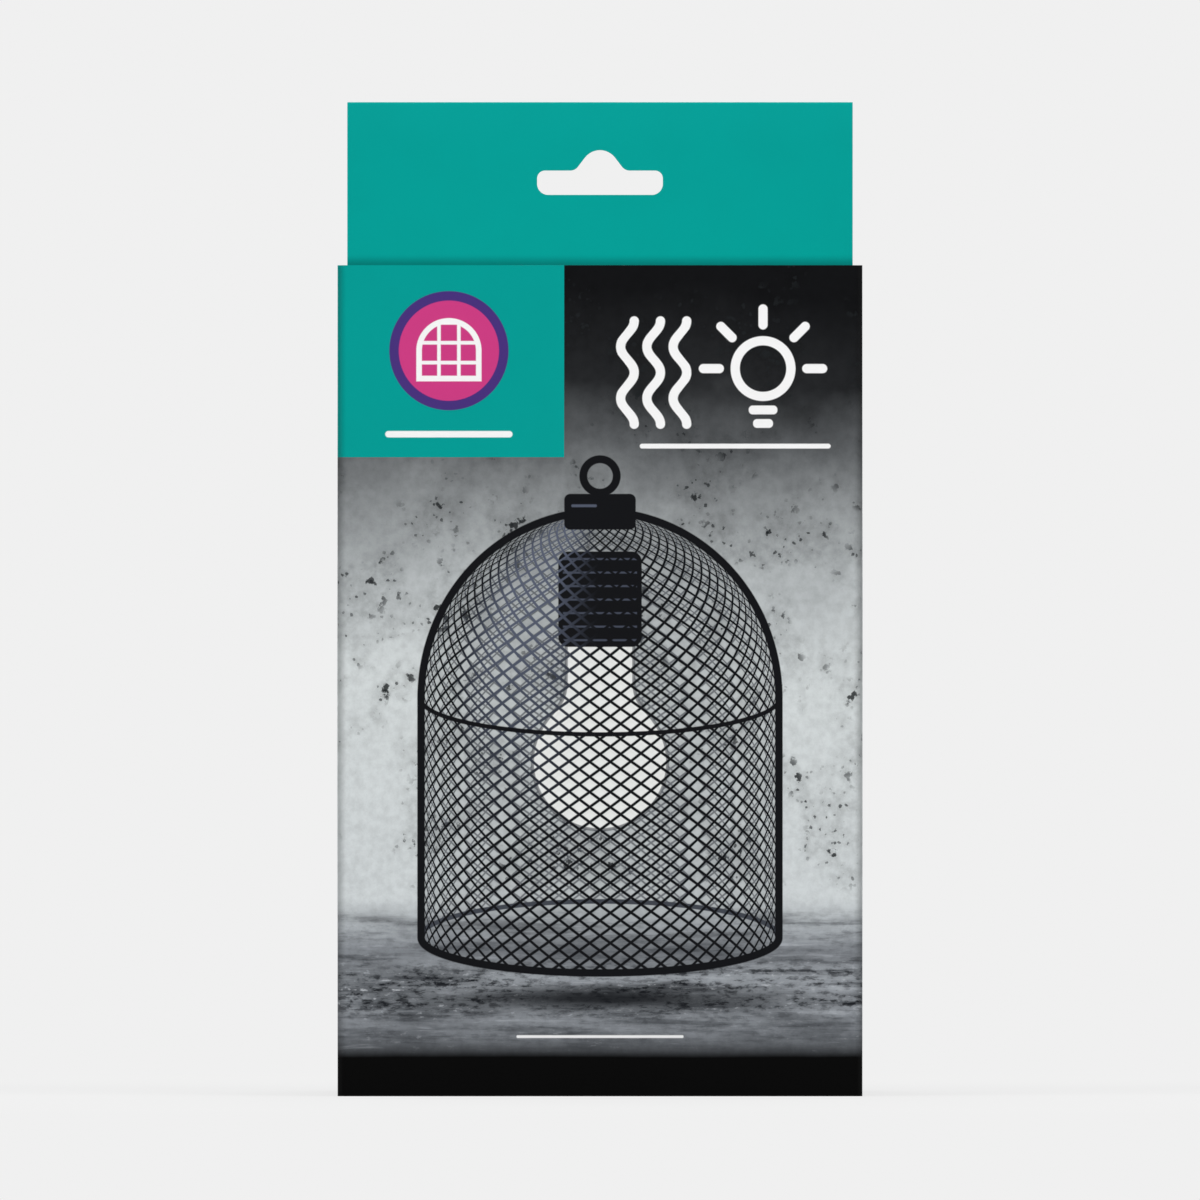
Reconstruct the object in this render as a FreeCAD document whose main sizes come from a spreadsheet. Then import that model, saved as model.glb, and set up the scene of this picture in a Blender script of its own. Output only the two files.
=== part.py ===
import FreeCAD, Part
import math
import os
import Sketcher

# Hanging retail carton: a square box folded from one sheet of board and closed at both ends.
# The back wall runs on upwards, turns over and comes down again as a two-ply header with
# a hanger slot, then turns forward as the lid and tucks in behind the front wall.
# Frame: Z is up, the front wall faces -Y, and the origin is in the middle of the base.
# Lengths are millimetres, angles are degrees.

SIZES = [
    ("carton_width", 132.0, "outside width of the box"),
    ("carton_depth", 132.0, "outside depth of the box"),
    ("body_height", 209.0, "base to top of the lid"),
    ("header_height", 42.5, "top of the lid to the header's upper fold"),
    ("board", 0.6, "thickness of the board"),
    ("fold_radius", 0.7, "inside radius of the four upright folds and the base's rear fold"),
    ("closing_fold_radius", 0.4, "inside radius where the lid and the base turn into their tucks"),
    ("seam_fold_radius", 0.3, "inside radius of the glue flap's fold"),
    ("lid_crease_radius", 0.3, "inside radius of the crease between header and lid"),
    ("panel_relief", 0.2, "lid, base and header are cut this much short of the corner folds"),
    ("tuck_length", 20.0, "depth of the tuck flaps from the outer face"),
    ("tuck_corner_radius", 10.0, "rounding of the tuck flaps' free corners"),
    ("dust_flap_length", 48.0, "reach of the four dust flaps from the side wall"),
    ("dust_flap_shoulder", 8.0, "straight part of a dust flap before it tapers"),
    ("dust_flap_taper", 9.0, "how far each side of a dust flap comes in"),
    ("dust_flap_relief", 0.2, "side clearance of a dust flap"),
    ("glue_flap_width", 15.0, "reach of the glue flap along the left wall"),
    ("glue_flap_taper", 6.0, "slant of the glue flap's ends"),
    ("glue_flap_relief", 1.0, "gap between the glue flap's ends and the dust flap folds"),
    ("seam_setback", 1.5, "left wall's raw edge, measured from the back face"),
    ("slot_width", 32.0, "hanger slot, overall width"),
    ("slot_bar_height", 6.2, "hanger slot, height of its straight bar"),
    ("slot_height", 11.4, "hanger slot, overall height"),
    ("slot_lift", 18.9, "top of the lid to the lower edge of the slot"),
    ("slot_lower_radius", 2.8, "lower corners of the slot"),
    ("slot_upper_radius", 2.0, "upper corners of the slot's bar"),
    ("hump_radius", 4.8, "round top of the slot's hump"),
    ("hump_root_radius", 2.5, "rounding where the hump leaves the bar"),
    ("hump_slope", 52.7, "angle of the hump's sides"),
]

document = FreeCAD.newDocument("HangingCarton")
sheet = document.addObject("Spreadsheet::Sheet", "Sizes")
for row, (alias, number, meaning) in enumerate(SIZES, start=1):
    sheet.set(f"A{row}", meaning)
    sheet.set(f"B{row}", str(number))
    sheet.setAlias(f"B{row}", alias)
document.recompute()

# Lengths that several features share, as expressions of the sheet.
BOARD = "Sizes.board"
HEIGHT = "Sizes.body_height"
HALF_WIDTH = "(Sizes.carton_width / 2)"
HALF_DEPTH = "(Sizes.carton_depth / 2)"
FOLD_OUTER = "(Sizes.fold_radius + Sizes.board)"
SEAM_OUTER = "(Sizes.seam_fold_radius + Sizes.board)"
CLOSING_OUTER = "(Sizes.closing_fold_radius + Sizes.board)"
CREASE_OUTER = "(Sizes.lid_crease_radius + Sizes.board)"
CORNER_WIDTH = f"max({FOLD_OUTER}; {BOARD} + {SEAM_OUTER})"
PANEL_SIDE = f"({HALF_WIDTH} - {CORNER_WIDTH} - Sizes.panel_relief)"
SEAM_LAP = f"(max({SEAM_OUTER}; Sizes.seam_setback) + {BOARD})"
FLAP_SIDE = (
    f"({HALF_DEPTH} - max({FOLD_OUTER}; {SEAM_LAP}; 2 * {BOARD} + Sizes.closing_fold_radius)"
    " - Sizes.dust_flap_relief)"
)
DUST_FOLD_ZONE = f"({FOLD_OUTER} + 2 * {BOARD})"
TUCK_START = f"({CLOSING_OUTER} + {BOARD})"
FRONT_INSIDE = f"(-{HALF_DEPTH} + {BOARD})"
TUCK_INSIDE = f"(-{HALF_DEPTH} + 2 * {BOARD})"
BACK_INSIDE = f"({HALF_DEPTH} - {BOARD})"
FRONT_PLY = f"({HALF_DEPTH} - 2 * {BOARD})"


def negative(expression):
    return f"(-{expression})"


def from_base(expression):
    return expression


def from_lid(expression):
    return f"({HEIGHT} - {expression})"


# A sketch is drawn on one of the body's own planes, moved along its normal by an offset.
# On XY_Plane across is X and up is Y, on XZ_Plane X and Z, on YZ_Plane Y and Z.
def add_sketch(name, plane_role, offset="0"):
    sketch = carton.newObject("Sketcher::SketchObject", name)
    plane = [item for item in carton.Origin.OriginFeatures if item.Role == plane_role][0]
    sketch.AttachmentSupport = [(plane, "")]
    sketch.MapMode = "FlatFace"
    sketch.setExpression("AttachmentOffset.Base.z", offset)
    return sketch


def bind(sketch, constraint, expression):
    index = sketch.addConstraint(constraint)
    sketch.setExpression(f"Constraints[{index}]", expression)


def hold(sketch, kind, place, expression):
    value = sketch.evalExpression(expression)
    bind(sketch, Sketcher.Constraint(kind, -1, 1, *place, value), expression)


def add_line(sketch, start, end):
    line = sketch.addGeometry(Part.LineSegment(start, end), False)
    return (line, 1), (line, 2)


# A round edge between two points, as seen from its centre; the sketch keeps arcs
# anticlockwise, so the ends of a clockwise one change places.
def add_arc(sketch, centre, start, end, clockwise):
    first, last = (end, start) if clockwise else (start, end)
    angles = [math.atan2(spot.y - centre.y, spot.x - centre.x) for spot in (first, last)]
    if angles[1] < angles[0]:
        angles[1] += 2 * math.pi
    circle = Part.Circle(centre, FreeCAD.Vector(0, 0, 1), (start - centre).Length)
    arc = sketch.addGeometry(Part.ArcOfCircle(circle, *angles), False)
    return ((arc, 2), (arc, 1)) if clockwise else ((arc, 1), (arc, 2))


def join(sketch, kind, end, start):
    sketch.addConstraint(Sketcher.Constraint(kind, *end, *start))


# Draws a closed outline. A corner is (across, up), or (across, up, radius) where it is
# rounded. With "half_round" in place of the radius, the outline turns over in a half
# circle to the next corner. Every size is an expression of the sheet.
def outline(sketch, corners):
    count = len(corners)
    spots = [
        FreeCAD.Vector(sketch.evalExpression(corner[0]), sketch.evalExpression(corner[1]), 0)
        for corner in corners
    ]
    courses = [(spots[(i + 1) % count] - spots[i]).normalize() for i in range(count)]
    arrivals = [None] * count
    departures = [None] * count

    for i, corner in enumerate(corners):
        arrivals[i] = departures[i] = spots[i]
        if len(corner) == 3 and corner[2] != "half_round":
            turn = courses[i - 1].getAngle(courses[i])
            reach = sketch.evalExpression(corner[2]) * math.tan(turn / 2)
            arrivals[i] = spots[i] - courses[i - 1] * reach
            departures[i] = spots[i] + courses[i] * reach

    edges = []
    for i in range(count):
        following = (i + 1) % count
        if corners[i][-1] == "half_round":
            middle = (spots[i] + spots[following]) / 2
            clockwise = courses[i - 1].cross(courses[i]).z < 0
            edges.append(add_arc(sketch, middle, spots[i], spots[following], clockwise))
        else:
            edges.append(add_line(sketch, departures[i], arrivals[following]))

    for i, corner in enumerate(corners):
        following = (i + 1) % count
        level = corner[1] == corners[following][1]
        upright = corner[0] == corners[following][0]
        if level:
            hold(sketch, "DistanceY", edges[i][0], corner[1])
        if upright:
            hold(sketch, "DistanceX", edges[i][0], corner[0])
        if corner[-1] != "half_round" and (level or upright):
            direction = "Horizontal" if level else "Vertical"
            sketch.addConstraint(Sketcher.Constraint(direction, edges[i][0][0]))

    for i, corner in enumerate(corners):
        before = corners[i - 1]
        following = corners[(i + 1) % count]
        half_round = "half_round" in (corner[-1], before[-1])
        if len(corner) == 3 and not half_round:
            turns_right = courses[i - 1].cross(courses[i]).z < 0
            side = FreeCAD.Vector(-courses[i - 1].y, courses[i - 1].x, 0)
            radius = sketch.evalExpression(corner[2])
            centre = arrivals[i] + side * (-radius if turns_right else radius)
            start, end = add_arc(sketch, centre, arrivals[i], departures[i], turns_right)
            join(sketch, "Tangent", edges[i - 1][1], start)
            join(sketch, "Tangent", end, edges[i][0])
            bind(sketch, Sketcher.Constraint("Radius", start[0], radius), corner[2])
            continue
        join(sketch, "Tangent" if half_round else "Coincident", edges[i - 1][1], edges[i][0])
        if before[0] != corner[0] != following[0]:
            hold(sketch, "DistanceX", edges[i][0], corner[0])
        if before[1] != corner[1] != following[1]:
            hold(sketch, "DistanceY", edges[i][0], corner[1])


def rectangle(sketch, left, right, low, high, *radius):
    corners = [(left, low), (right, low), (right, high), (left, high)]
    outline(sketch, [corner + radius for corner in corners])


def pad(sketch, length, symmetric=False):
    feature = carton.newObject("PartDesign::Pad", f"{sketch.Name}_pad")
    feature.Profile = sketch
    feature.SideType = "Symmetric" if symmetric else "One side"
    feature.setExpression("Length", length)
    document.recompute()


# Cuts all the way, on both sides of the sketch or only on the side away from its normal.
def cut_through(sketch, both_ways):
    feature = carton.newObject("PartDesign::Pocket", f"{sketch.Name}_cut")
    feature.Profile = sketch
    feature.Type = "ThroughAll"
    feature.SideType = "Symmetric" if both_ways else "One side"
    document.recompute()
    if feature.Shape.Volume >= feature.BaseFeature.Shape.Volume:
        raise RuntimeError(f"{feature.Name} removes nothing")


# Four upright walls with rounded folds.
def add_walls():
    sketch = add_sketch("walls", "XY_Plane")
    rectangle(
        sketch, negative(HALF_WIDTH), HALF_WIDTH, negative(HALF_DEPTH), HALF_DEPTH, FOLD_OUTER
    )
    rectangle(
        sketch,
        f"(-{HALF_WIDTH} + {BOARD})",
        f"({HALF_WIDTH} - {BOARD})",
        FRONT_INSIDE,
        BACK_INSIDE,
        "Sizes.fold_radius",
    )
    pad(sketch, HEIGHT)


# The side walls stop short at both ends, where the dust flaps turn in, and the back wall
# stops short at the base. The corner folds run the full height.
def trim_walls():
    sketch = add_sketch("side_wall_ends", "YZ_Plane")
    side = f"({HALF_DEPTH} - {FOLD_OUTER})"
    rectangle(sketch, negative(side), side, from_lid(DUST_FOLD_ZONE), f"({HEIGHT} + {BOARD})")
    rectangle(sketch, negative(side), side, negative(BOARD), DUST_FOLD_ZONE)
    cut_through(sketch, both_ways=True)

    sketch = add_sketch("back_wall_end", "XZ_Plane")
    side = f"({HALF_WIDTH} - {CORNER_WIDTH})"
    rectangle(sketch, negative(side), side, negative(BOARD), f"({FOLD_OUTER} + {BOARD})")
    cut_through(sketch, both_ways=False)


# Rear left corner: the left wall ends in a raw edge, and the glue flap turns in from the
# back wall and lies against the left wall's inner face.
def add_glue_seam():
    seam_end = f"(-{HALF_WIDTH} + 2 * {BOARD} + {SEAM_OUTER})"
    flap_start = f"({HALF_DEPTH} - {SEAM_LAP})"
    flap_outer = f"(-{HALF_WIDTH} + {BOARD})"
    flap_inner = f"(-{HALF_WIDTH} + 2 * {BOARD})"

    sketch = add_sketch("seam", "XY_Plane")
    rectangle(
        sketch,
        f"(-{HALF_WIDTH} - {BOARD})",
        seam_end,
        f"({HALF_DEPTH} - Sizes.seam_setback)",
        f"({HALF_DEPTH} + {BOARD})",
    )
    cut_through(sketch, both_ways=True)

    sketch = add_sketch("glue_flap_fold", "XY_Plane")
    outline(sketch, [
        (flap_outer, flap_start),
        (flap_inner, flap_start),
        (flap_inner, BACK_INSIDE, "Sizes.seam_fold_radius"),
        (seam_end, BACK_INSIDE),
        (seam_end, HALF_DEPTH),
        (flap_outer, HALF_DEPTH, SEAM_OUTER),
    ])
    pad(sketch, HEIGHT)

    sketch = add_sketch("glue_flap", "YZ_Plane", flap_outer)
    flap_end = f"({HALF_DEPTH} - Sizes.glue_flap_width)"
    end_gap = f"({DUST_FOLD_ZONE} + Sizes.glue_flap_relief)"
    slant_end = f"({end_gap} + Sizes.glue_flap_taper)"
    outline(sketch, [
        (flap_start, end_gap),
        (flap_start, from_lid(end_gap)),
        (flap_end, from_lid(slant_end)),
        (flap_end, slant_end),
    ])
    pad(sketch, BOARD)


# A dust flap turns in from a side wall, under the lid or over the base, and tapers
# towards its free edge. x_of and z_of place it at its own side and end.
def add_dust_flap(name, x_of, z_of, underside):
    shoulder = x_of(f"({HALF_WIDTH} - Sizes.dust_flap_shoulder)")
    wall_outer = x_of(HALF_WIDTH)
    wall_inner = x_of(f"({HALF_WIDTH} - {BOARD})")
    sketch = add_sketch(f"{name}_fold", "XZ_Plane")
    outline(sketch, [
        (wall_outer, z_of(DUST_FOLD_ZONE)),
        (wall_outer, z_of(BOARD), FOLD_OUTER),
        (shoulder, z_of(BOARD)),
        (shoulder, z_of(f"(2 * {BOARD})")),
        (wall_inner, z_of(f"(2 * {BOARD})"), "Sizes.fold_radius"),
        (wall_inner, z_of(DUST_FOLD_ZONE)),
    ])
    pad(sketch, f"2 * {FLAP_SIDE}", symmetric=True)

    sketch = add_sketch(name, "XY_Plane", underside)
    free_edge = x_of(f"({HALF_WIDTH} - Sizes.dust_flap_length)")
    free_side = f"({FLAP_SIDE} - Sizes.dust_flap_taper)"
    outline(sketch, [
        (shoulder, negative(FLAP_SIDE)),
        (shoulder, FLAP_SIDE),
        (free_edge, free_side),
        (free_edge, negative(free_side)),
    ])
    pad(sketch, BOARD)


# Lid or base tuck: a flap with rounded corners against the front wall's inner face.
def add_tuck(name, z_of):
    sketch = add_sketch(name, "XZ_Plane", negative(TUCK_INSIDE))
    outline(sketch, [
        (negative(PANEL_SIDE), z_of(TUCK_START)),
        (PANEL_SIDE, z_of(TUCK_START)),
        (PANEL_SIDE, z_of("Sizes.tuck_length"), "Sizes.tuck_corner_radius"),
        (negative(PANEL_SIDE), z_of("Sizes.tuck_length"), "Sizes.tuck_corner_radius"),
    ])
    pad(sketch, BOARD)


# The header's two plies lie face to face and turn over in a half round at the top.
def add_header():
    sketch = add_sketch("header", "YZ_Plane")
    fold_start = f"({HEIGHT} + Sizes.header_height - {BOARD})"
    outline(sketch, [
        (HALF_DEPTH, HEIGHT),
        (HALF_DEPTH, fold_start, "half_round"),
        (FRONT_PLY, fold_start),
        (FRONT_PLY, HEIGHT),
    ])
    pad(sketch, f"2 * {PANEL_SIDE}", symmetric=True)


# The lid creases forward from the header's front ply and turns down behind the front wall.
def add_lid():
    sketch = add_sketch("lid", "YZ_Plane")
    crease_end = f"({HEIGHT} + {CREASE_OUTER})"
    outline(sketch, [
        (FRONT_INSIDE, from_lid(TUCK_START)),
        (TUCK_INSIDE, from_lid(TUCK_START)),
        (TUCK_INSIDE, from_lid(BOARD), "Sizes.closing_fold_radius"),
        (BACK_INSIDE, from_lid(BOARD), CREASE_OUTER),
        (BACK_INSIDE, crease_end),
        (FRONT_PLY, crease_end),
        (FRONT_PLY, HEIGHT, "Sizes.lid_crease_radius"),
        (FRONT_INSIDE, HEIGHT, CLOSING_OUTER),
    ])
    pad(sketch, f"2 * {PANEL_SIDE}", symmetric=True)
    add_tuck("lid_tuck", from_lid)


# The base folds forward from the back wall and turns up behind the front wall.
def add_base():
    sketch = add_sketch("base", "YZ_Plane")
    fold_end = f"({FOLD_OUTER} + {BOARD})"
    outline(sketch, [
        (FRONT_INSIDE, TUCK_START),
        (FRONT_INSIDE, "0", CLOSING_OUTER),
        (HALF_DEPTH, "0", FOLD_OUTER),
        (HALF_DEPTH, fold_end),
        (BACK_INSIDE, fold_end),
        (BACK_INSIDE, BOARD, "Sizes.fold_radius"),
        (TUCK_INSIDE, BOARD, "Sizes.closing_fold_radius"),
        (TUCK_INSIDE, TUCK_START),
    ])
    pad(sketch, f"2 * {PANEL_SIDE}", symmetric=True)
    add_tuck("base_tuck", from_base)


# Hanger slot through both plies: a straight bar with rounded ends, and a hump in its
# middle with a round top, sloping sides and rounded roots.
def cut_hanger_slot():
    sketch = add_sketch("hanger_slot", "XZ_Plane")
    size = {alias: number for alias, number, meaning in SIZES}
    low = size["body_height"] + size["slot_lift"]
    bar_top = low + size["slot_bar_height"]
    half = size["slot_width"] / 2
    lower = size["slot_lower_radius"]
    upper = size["slot_upper_radius"]
    root = size["hump_root_radius"]
    slope = math.radians(size["hump_slope"])
    hump_centre = FreeCAD.Vector(0, low + size["slot_height"] - size["hump_radius"], 0)

    # The right half, from the lower edge up to the hump, worked out point by point.
    leave = hump_centre + FreeCAD.Vector(math.sin(slope), math.cos(slope), 0) * size["hump_radius"]
    foot = leave.x + (leave.y - bar_top) / math.tan(slope)
    reach = root * math.tan(slope / 2)
    slope_end = FreeCAD.Vector(foot - reach * math.cos(slope), bar_top + reach * math.sin(slope), 0)
    right = [
        (FreeCAD.Vector(half - lower, low, 0), FreeCAD.Vector(half, low + lower, 0),
         FreeCAD.Vector(half - lower, low + lower, 0), False),
        (FreeCAD.Vector(half, bar_top - upper, 0), FreeCAD.Vector(half - upper, bar_top, 0),
         FreeCAD.Vector(half - upper, bar_top - upper, 0), False),
        (FreeCAD.Vector(foot + reach, bar_top, 0), slope_end,
         FreeCAD.Vector(foot + reach, bar_top + root, 0), True),
    ]

    def mirrored(spot):
        return FreeCAD.Vector(-spot.x, spot.y, 0)

    hump = (leave, mirrored(leave), hump_centre, False)
    left = [
        (mirrored(end), mirrored(start), mirrored(centre), clockwise)
        for start, end, centre, clockwise in reversed(right)
    ]
    arcs = [
        add_arc(sketch, centre, start, end, clockwise)
        for start, end, centre, clockwise in right + [hump] + left
    ]
    turns = right + [hump] + left
    lines = []
    for i, turn in enumerate(turns):
        following = (i + 1) % len(turns)
        line = add_line(sketch, turn[1], turns[following][0])
        join(sketch, "Tangent", arcs[i][1], line[0])
        join(sketch, "Tangent", line[1], arcs[following][0])
        lines.append(line)

    right_end, right_top, right_slope, left_slope, left_top, left_end, bottom = lines
    for line in (right_end, left_end):
        sketch.addConstraint(Sketcher.Constraint("Vertical", line[0][0]))
    for line in (right_top, left_top, bottom):
        sketch.addConstraint(Sketcher.Constraint("Horizontal", line[0][0]))
    sketch.addConstraint(Sketcher.Constraint("PointOnObject", arcs[3][0][0], 3, -2))
    hold(sketch, "DistanceX", right_end[0], "(Sizes.slot_width / 2)")
    hold(sketch, "DistanceX", left_end[0], "(-Sizes.slot_width / 2)")
    hold(sketch, "DistanceY", bottom[0], f"({HEIGHT} + Sizes.slot_lift)")
    for line in (right_top, left_top):
        hold(sketch, "DistanceY", line[0], f"({HEIGHT} + Sizes.slot_lift + Sizes.slot_bar_height)")
    hold(
        sketch,
        "DistanceY",
        (arcs[3][0][0], 3),
        f"({HEIGHT} + Sizes.slot_lift + Sizes.slot_height - Sizes.hump_radius)",
    )
    radii = ["slot_lower_radius", "slot_upper_radius", "hump_root_radius"]
    for arc, alias in zip(arcs, radii + ["hump_radius"] + radii[::-1]):
        bind(sketch, Sketcher.Constraint("Radius", arc[0][0], size[alias]), f"Sizes.{alias}")
    bind(
        sketch,
        Sketcher.Constraint("Angle", -1, 1, *right_slope[0], math.pi - slope),
        "180 - Sizes.hump_slope",
    )
    bind(
        sketch,
        Sketcher.Constraint("Angle", -1, 1, *left_slope[1], slope),
        "Sizes.hump_slope",
    )
    cut_through(sketch, both_ways=True)


# Stops on anything that failed without saying so, and on a sketch left loose.
def check_document():
    for item in document.Objects:
        if "Invalid" in item.State or "Error" in item.State:
            raise RuntimeError(f"{item.Name} is {item.State}")
        if item.TypeId == "Sketcher::SketchObject" and not item.FullyConstrained:
            raise RuntimeError(f"{item.Name} is not fully constrained")
    if carton.Shape.isNull() or not carton.Shape.isValid():
        raise RuntimeError("the carton has no valid shape")
    if len(carton.Shape.Solids) != 1:
        raise RuntimeError(f"the carton is {len(carton.Shape.Solids)} solids, not one sheet")


carton = document.addObject("PartDesign::Body", "carton")
carton.Label = "carton"
document.recompute()
add_walls()
trim_walls()
add_glue_seam()
for side_name, x_of in (("right", from_base), ("left", negative)):
    add_dust_flap(f"{side_name}_dust_flap_top", x_of, from_lid, f"({HEIGHT} - 2 * {BOARD})")
    add_dust_flap(f"{side_name}_dust_flap_base", x_of, from_base, BOARD)
add_header()
add_lid()
add_base()
cut_hanger_slot()
document.recompute()
check_document()

os.makedirs("parts", exist_ok=True)
carton.Shape.exportStep(f"parts/{carton.Label}.step")
print(f"carton: {carton.Shape.Volume:.0f} mm3, box {carton.Shape.BoundBox}")
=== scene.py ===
import math

import bmesh
import bpy
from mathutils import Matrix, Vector, noise
from mathutils.bvhtree import BVHTree


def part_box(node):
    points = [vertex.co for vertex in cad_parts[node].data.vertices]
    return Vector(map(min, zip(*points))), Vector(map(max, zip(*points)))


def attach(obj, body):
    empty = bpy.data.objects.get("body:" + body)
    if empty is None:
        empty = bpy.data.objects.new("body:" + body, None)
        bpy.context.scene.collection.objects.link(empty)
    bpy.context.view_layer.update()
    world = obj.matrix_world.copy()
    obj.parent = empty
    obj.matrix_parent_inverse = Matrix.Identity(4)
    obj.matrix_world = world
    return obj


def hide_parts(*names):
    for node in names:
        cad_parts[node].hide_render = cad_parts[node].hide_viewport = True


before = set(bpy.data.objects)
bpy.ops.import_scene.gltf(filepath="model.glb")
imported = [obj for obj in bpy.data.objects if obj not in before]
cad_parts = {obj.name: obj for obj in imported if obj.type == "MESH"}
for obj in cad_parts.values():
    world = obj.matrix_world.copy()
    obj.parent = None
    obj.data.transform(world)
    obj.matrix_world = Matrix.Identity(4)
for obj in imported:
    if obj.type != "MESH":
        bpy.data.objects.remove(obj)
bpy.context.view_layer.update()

# The carton's driving sizes, in metres. The box comes from the frame; the rest is what
# the board and its folds measure.
MM = 0.001
low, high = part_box("carton")
WIDTH = high[0] - low[0]
DEPTH = high[1] - low[1]
TOP = high[2]
HEADER_HEIGHT = 42.5 * MM
HEIGHT = TOP - HEADER_HEIGHT
BOARD = 0.6 * MM
FOLD = 1.3 * MM
CLOSING_FOLD = 1.0 * MM
SEAM_FOLD = 0.9 * MM
CREASE = 0.3 * MM
SEAM_SETBACK = 1.5 * MM
PANEL_RELIEF = 0.2 * MM
FLAP_RELIEF = 0.2 * MM
TUCK_LENGTH = 20 * MM
TUCK_CORNER = 10 * MM
FLAP_LENGTH = 48 * MM
FLAP_SHOULDER = 8 * MM
FLAP_TAPER = 9 * MM
GLUE_FLAP = 15 * MM
GLUE_FLAP_TAPER = 6 * MM
SLIP = 0.03 * MM
GRID = 6 * MM

W = WIDTH / 2
D = DEPTH / 2
CORNER = max(FOLD, BOARD + SEAM_FOLD)
PANEL_SIDE = W - CORNER - PANEL_RELIEF
SEAM_LAP = SEAM_SETBACK + BOARD
FLAP_SIDE = D - SEAM_LAP - FLAP_RELIEF
FOLD_STEPS = 6
TUCK_STEPS = 8

SLOT_WIDTH = 32 * MM
SLOT_BAR = 6.2 * MM
SLOT_HEIGHT = 11.4 * MM
SLOT_LIFT = 18.9 * MM
SLOT_LOWER = 2.8 * MM
SLOT_UPPER = 2.0 * MM
HUMP_RADIUS = 4.8 * MM
HUMP_ROOT = 2.5 * MM
HUMP_SLOPE = math.radians(52.7)
PUNCH_LENGTH = 10 * MM

WALL_END = FOLD + BOARD + SLIP

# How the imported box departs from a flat-sided one.
SWELL = 0.35 * MM
LID_SWELL = 0.25 * MM
HEADER_CURL = 0.5 * MM
WAVE = 0.12 * MM
WAVE_FREQUENCY = 28

# The camera stands far off, square to the front, and sees VIEW_SPAN at the front's plane.
SENSOR = 36
VIEW_DISTANCE = 11.0
VIEW_SPAN = 0.3018
VIEW_END = 100
EYE_HEIGHT = 124.8 * MM

# Light: a pale room, and three softboxes (name, degrees round from the front, watts).
BACKGROUND = 0.871
AMBIENT = 0.55
FLOOR_SIZE = 80
FLOOR_DROP = 0.02 * MM
FLOOR_ALBEDO = 0.15
FLOOR_GLOW = 0.71
FLOOR_NEAR = 0.18
FLOOR_FAR = 0.5
SOFTBOXES = (("left_softbox", -48, 66), ("right_softbox", 48, 61), ("rear_softbox", 180, 60))
SOFTBOX_AWAY = 3.0
SOFTBOX_HEIGHT = 1.5
SOFTBOX_SIZE = 2.8

# The print on the front, in millimetres on the panel: x from its middle, z from its foot.
BLOCK_RIGHT = -9.0
BLOCK_FOOT = 160.7

SLOTS = ("front_print", "board_inside", "board_core", "wall_print", "teal_print", "foot_print")
INSIDE = SLOTS.index("board_inside")
CORE = SLOTS.index("board_core")

# What counts as one place, as facing along an axis, and as flat across it.
SLACK = 0.02 * MM
MERGE = 0.01 * MM
FACING = 0.9
FLAT = 0.99


def near(a, b):
    return abs(a - b) < SLACK


def edit(piece, mode="EDGE"):
    bpy.ops.object.mode_set(mode="OBJECT")
    bpy.ops.object.select_all(action="DESELECT")
    piece.select_set(True)
    bpy.context.view_layer.objects.active = piece
    bpy.ops.object.mode_set(mode="EDIT")
    bpy.ops.mesh.select_mode(type=mode)


# Selects the edges whose two ends pass the test, and nothing else.
def pick_edges(piece, test):
    bpy.ops.mesh.select_all(action="DESELECT")
    mesh = bmesh.from_edit_mesh(piece.data)
    for edge in mesh.edges:
        edge.select_set(all(test(vertex.co) for vertex in edge.verts))
    bmesh.update_edit_mesh(piece.data)


# Selects the faces whose middle and normal pass the test, and nothing else.
def pick_faces(piece, test):
    bpy.ops.mesh.select_all(action="DESELECT")
    mesh = bmesh.from_edit_mesh(piece.data)
    for face in mesh.faces:
        face.select_set(test(face.calc_center_median(), face.normal))
    bmesh.update_edit_mesh(piece.data)


# Cuts the whole sheet along a plane, so that the line can then be folded or trimmed.
def score(across, at):
    place = [0.0, 0.0, 0.0]
    normal = [0.0, 0.0, 0.0]
    place["xyz".index(across)] = at
    normal["xyz".index(across)] = 1.0
    bpy.ops.mesh.select_all(action="SELECT")
    bpy.ops.mesh.bisect(plane_co=place, plane_no=normal)


# Trims away the faces that pass the test.
def trim(piece, test):
    pick_faces(piece, test)
    bpy.ops.mesh.delete(type="FACE")


def run(x=0.0, y=0.0, z=0.0):
    bpy.ops.mesh.extrude_region_move(TRANSFORM_OT_translate={"value": (x, y, z)})


# Sweeps the selected edges about an axis, right-handed for positive degrees.
def turn(centre, axis, degrees, steps=FOLD_STEPS):
    bpy.ops.mesh.spin(steps=steps, angle=-math.radians(degrees), center=centre, axis=axis)


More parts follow.
